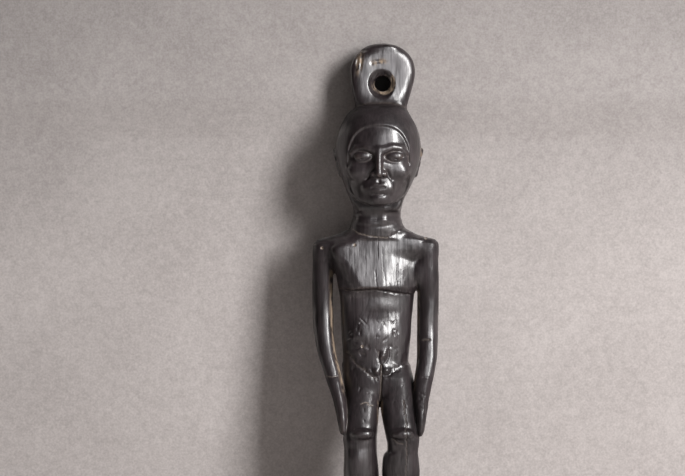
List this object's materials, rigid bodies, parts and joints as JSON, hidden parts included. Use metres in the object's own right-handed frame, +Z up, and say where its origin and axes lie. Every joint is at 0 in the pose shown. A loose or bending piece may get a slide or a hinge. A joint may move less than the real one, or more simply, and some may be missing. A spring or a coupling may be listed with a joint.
{
  "type": "carved wooden standing figure",
  "caption": "Dark wooden standing figure, arms at its sides and hands flat on its thighs, with a pierced suspension lug rising from the crown.",
  "frame": {"origin": "on the floor plane under the centre of the bounding box", "axes": "+Z up from the soles to the lug, the figure faces -Y, +X towards its own left side"},
  "size_m": [0.102, 0.0715, 0.39],
  "materials": {
    "dark_wood": "dark polished patina over close-grained hardwood",
    "handled_wood": "the same wood where handling, cord and floor have worn it"
  },
  "bodies": {
    "root": {"suspension_lug": "handled_wood", "head": "dark_wood", "neck": "dark_wood", "shoulders": "dark_wood", "torso": "dark_wood", "hips": "dark_wood", "left_arm": "dark_wood", "right_arm": "dark_wood", "left_hand": "dark_wood", "right_hand": "dark_wood", "left_thigh": "dark_wood", "right_thigh": "dark_wood", "left_knee": "dark_wood", "right_knee": "dark_wood", "left_calf": "dark_wood", "right_calf": "dark_wood", "left_foot": "handled_wood", "right_foot": "handled_wood"}
  },
  "joints": []
}
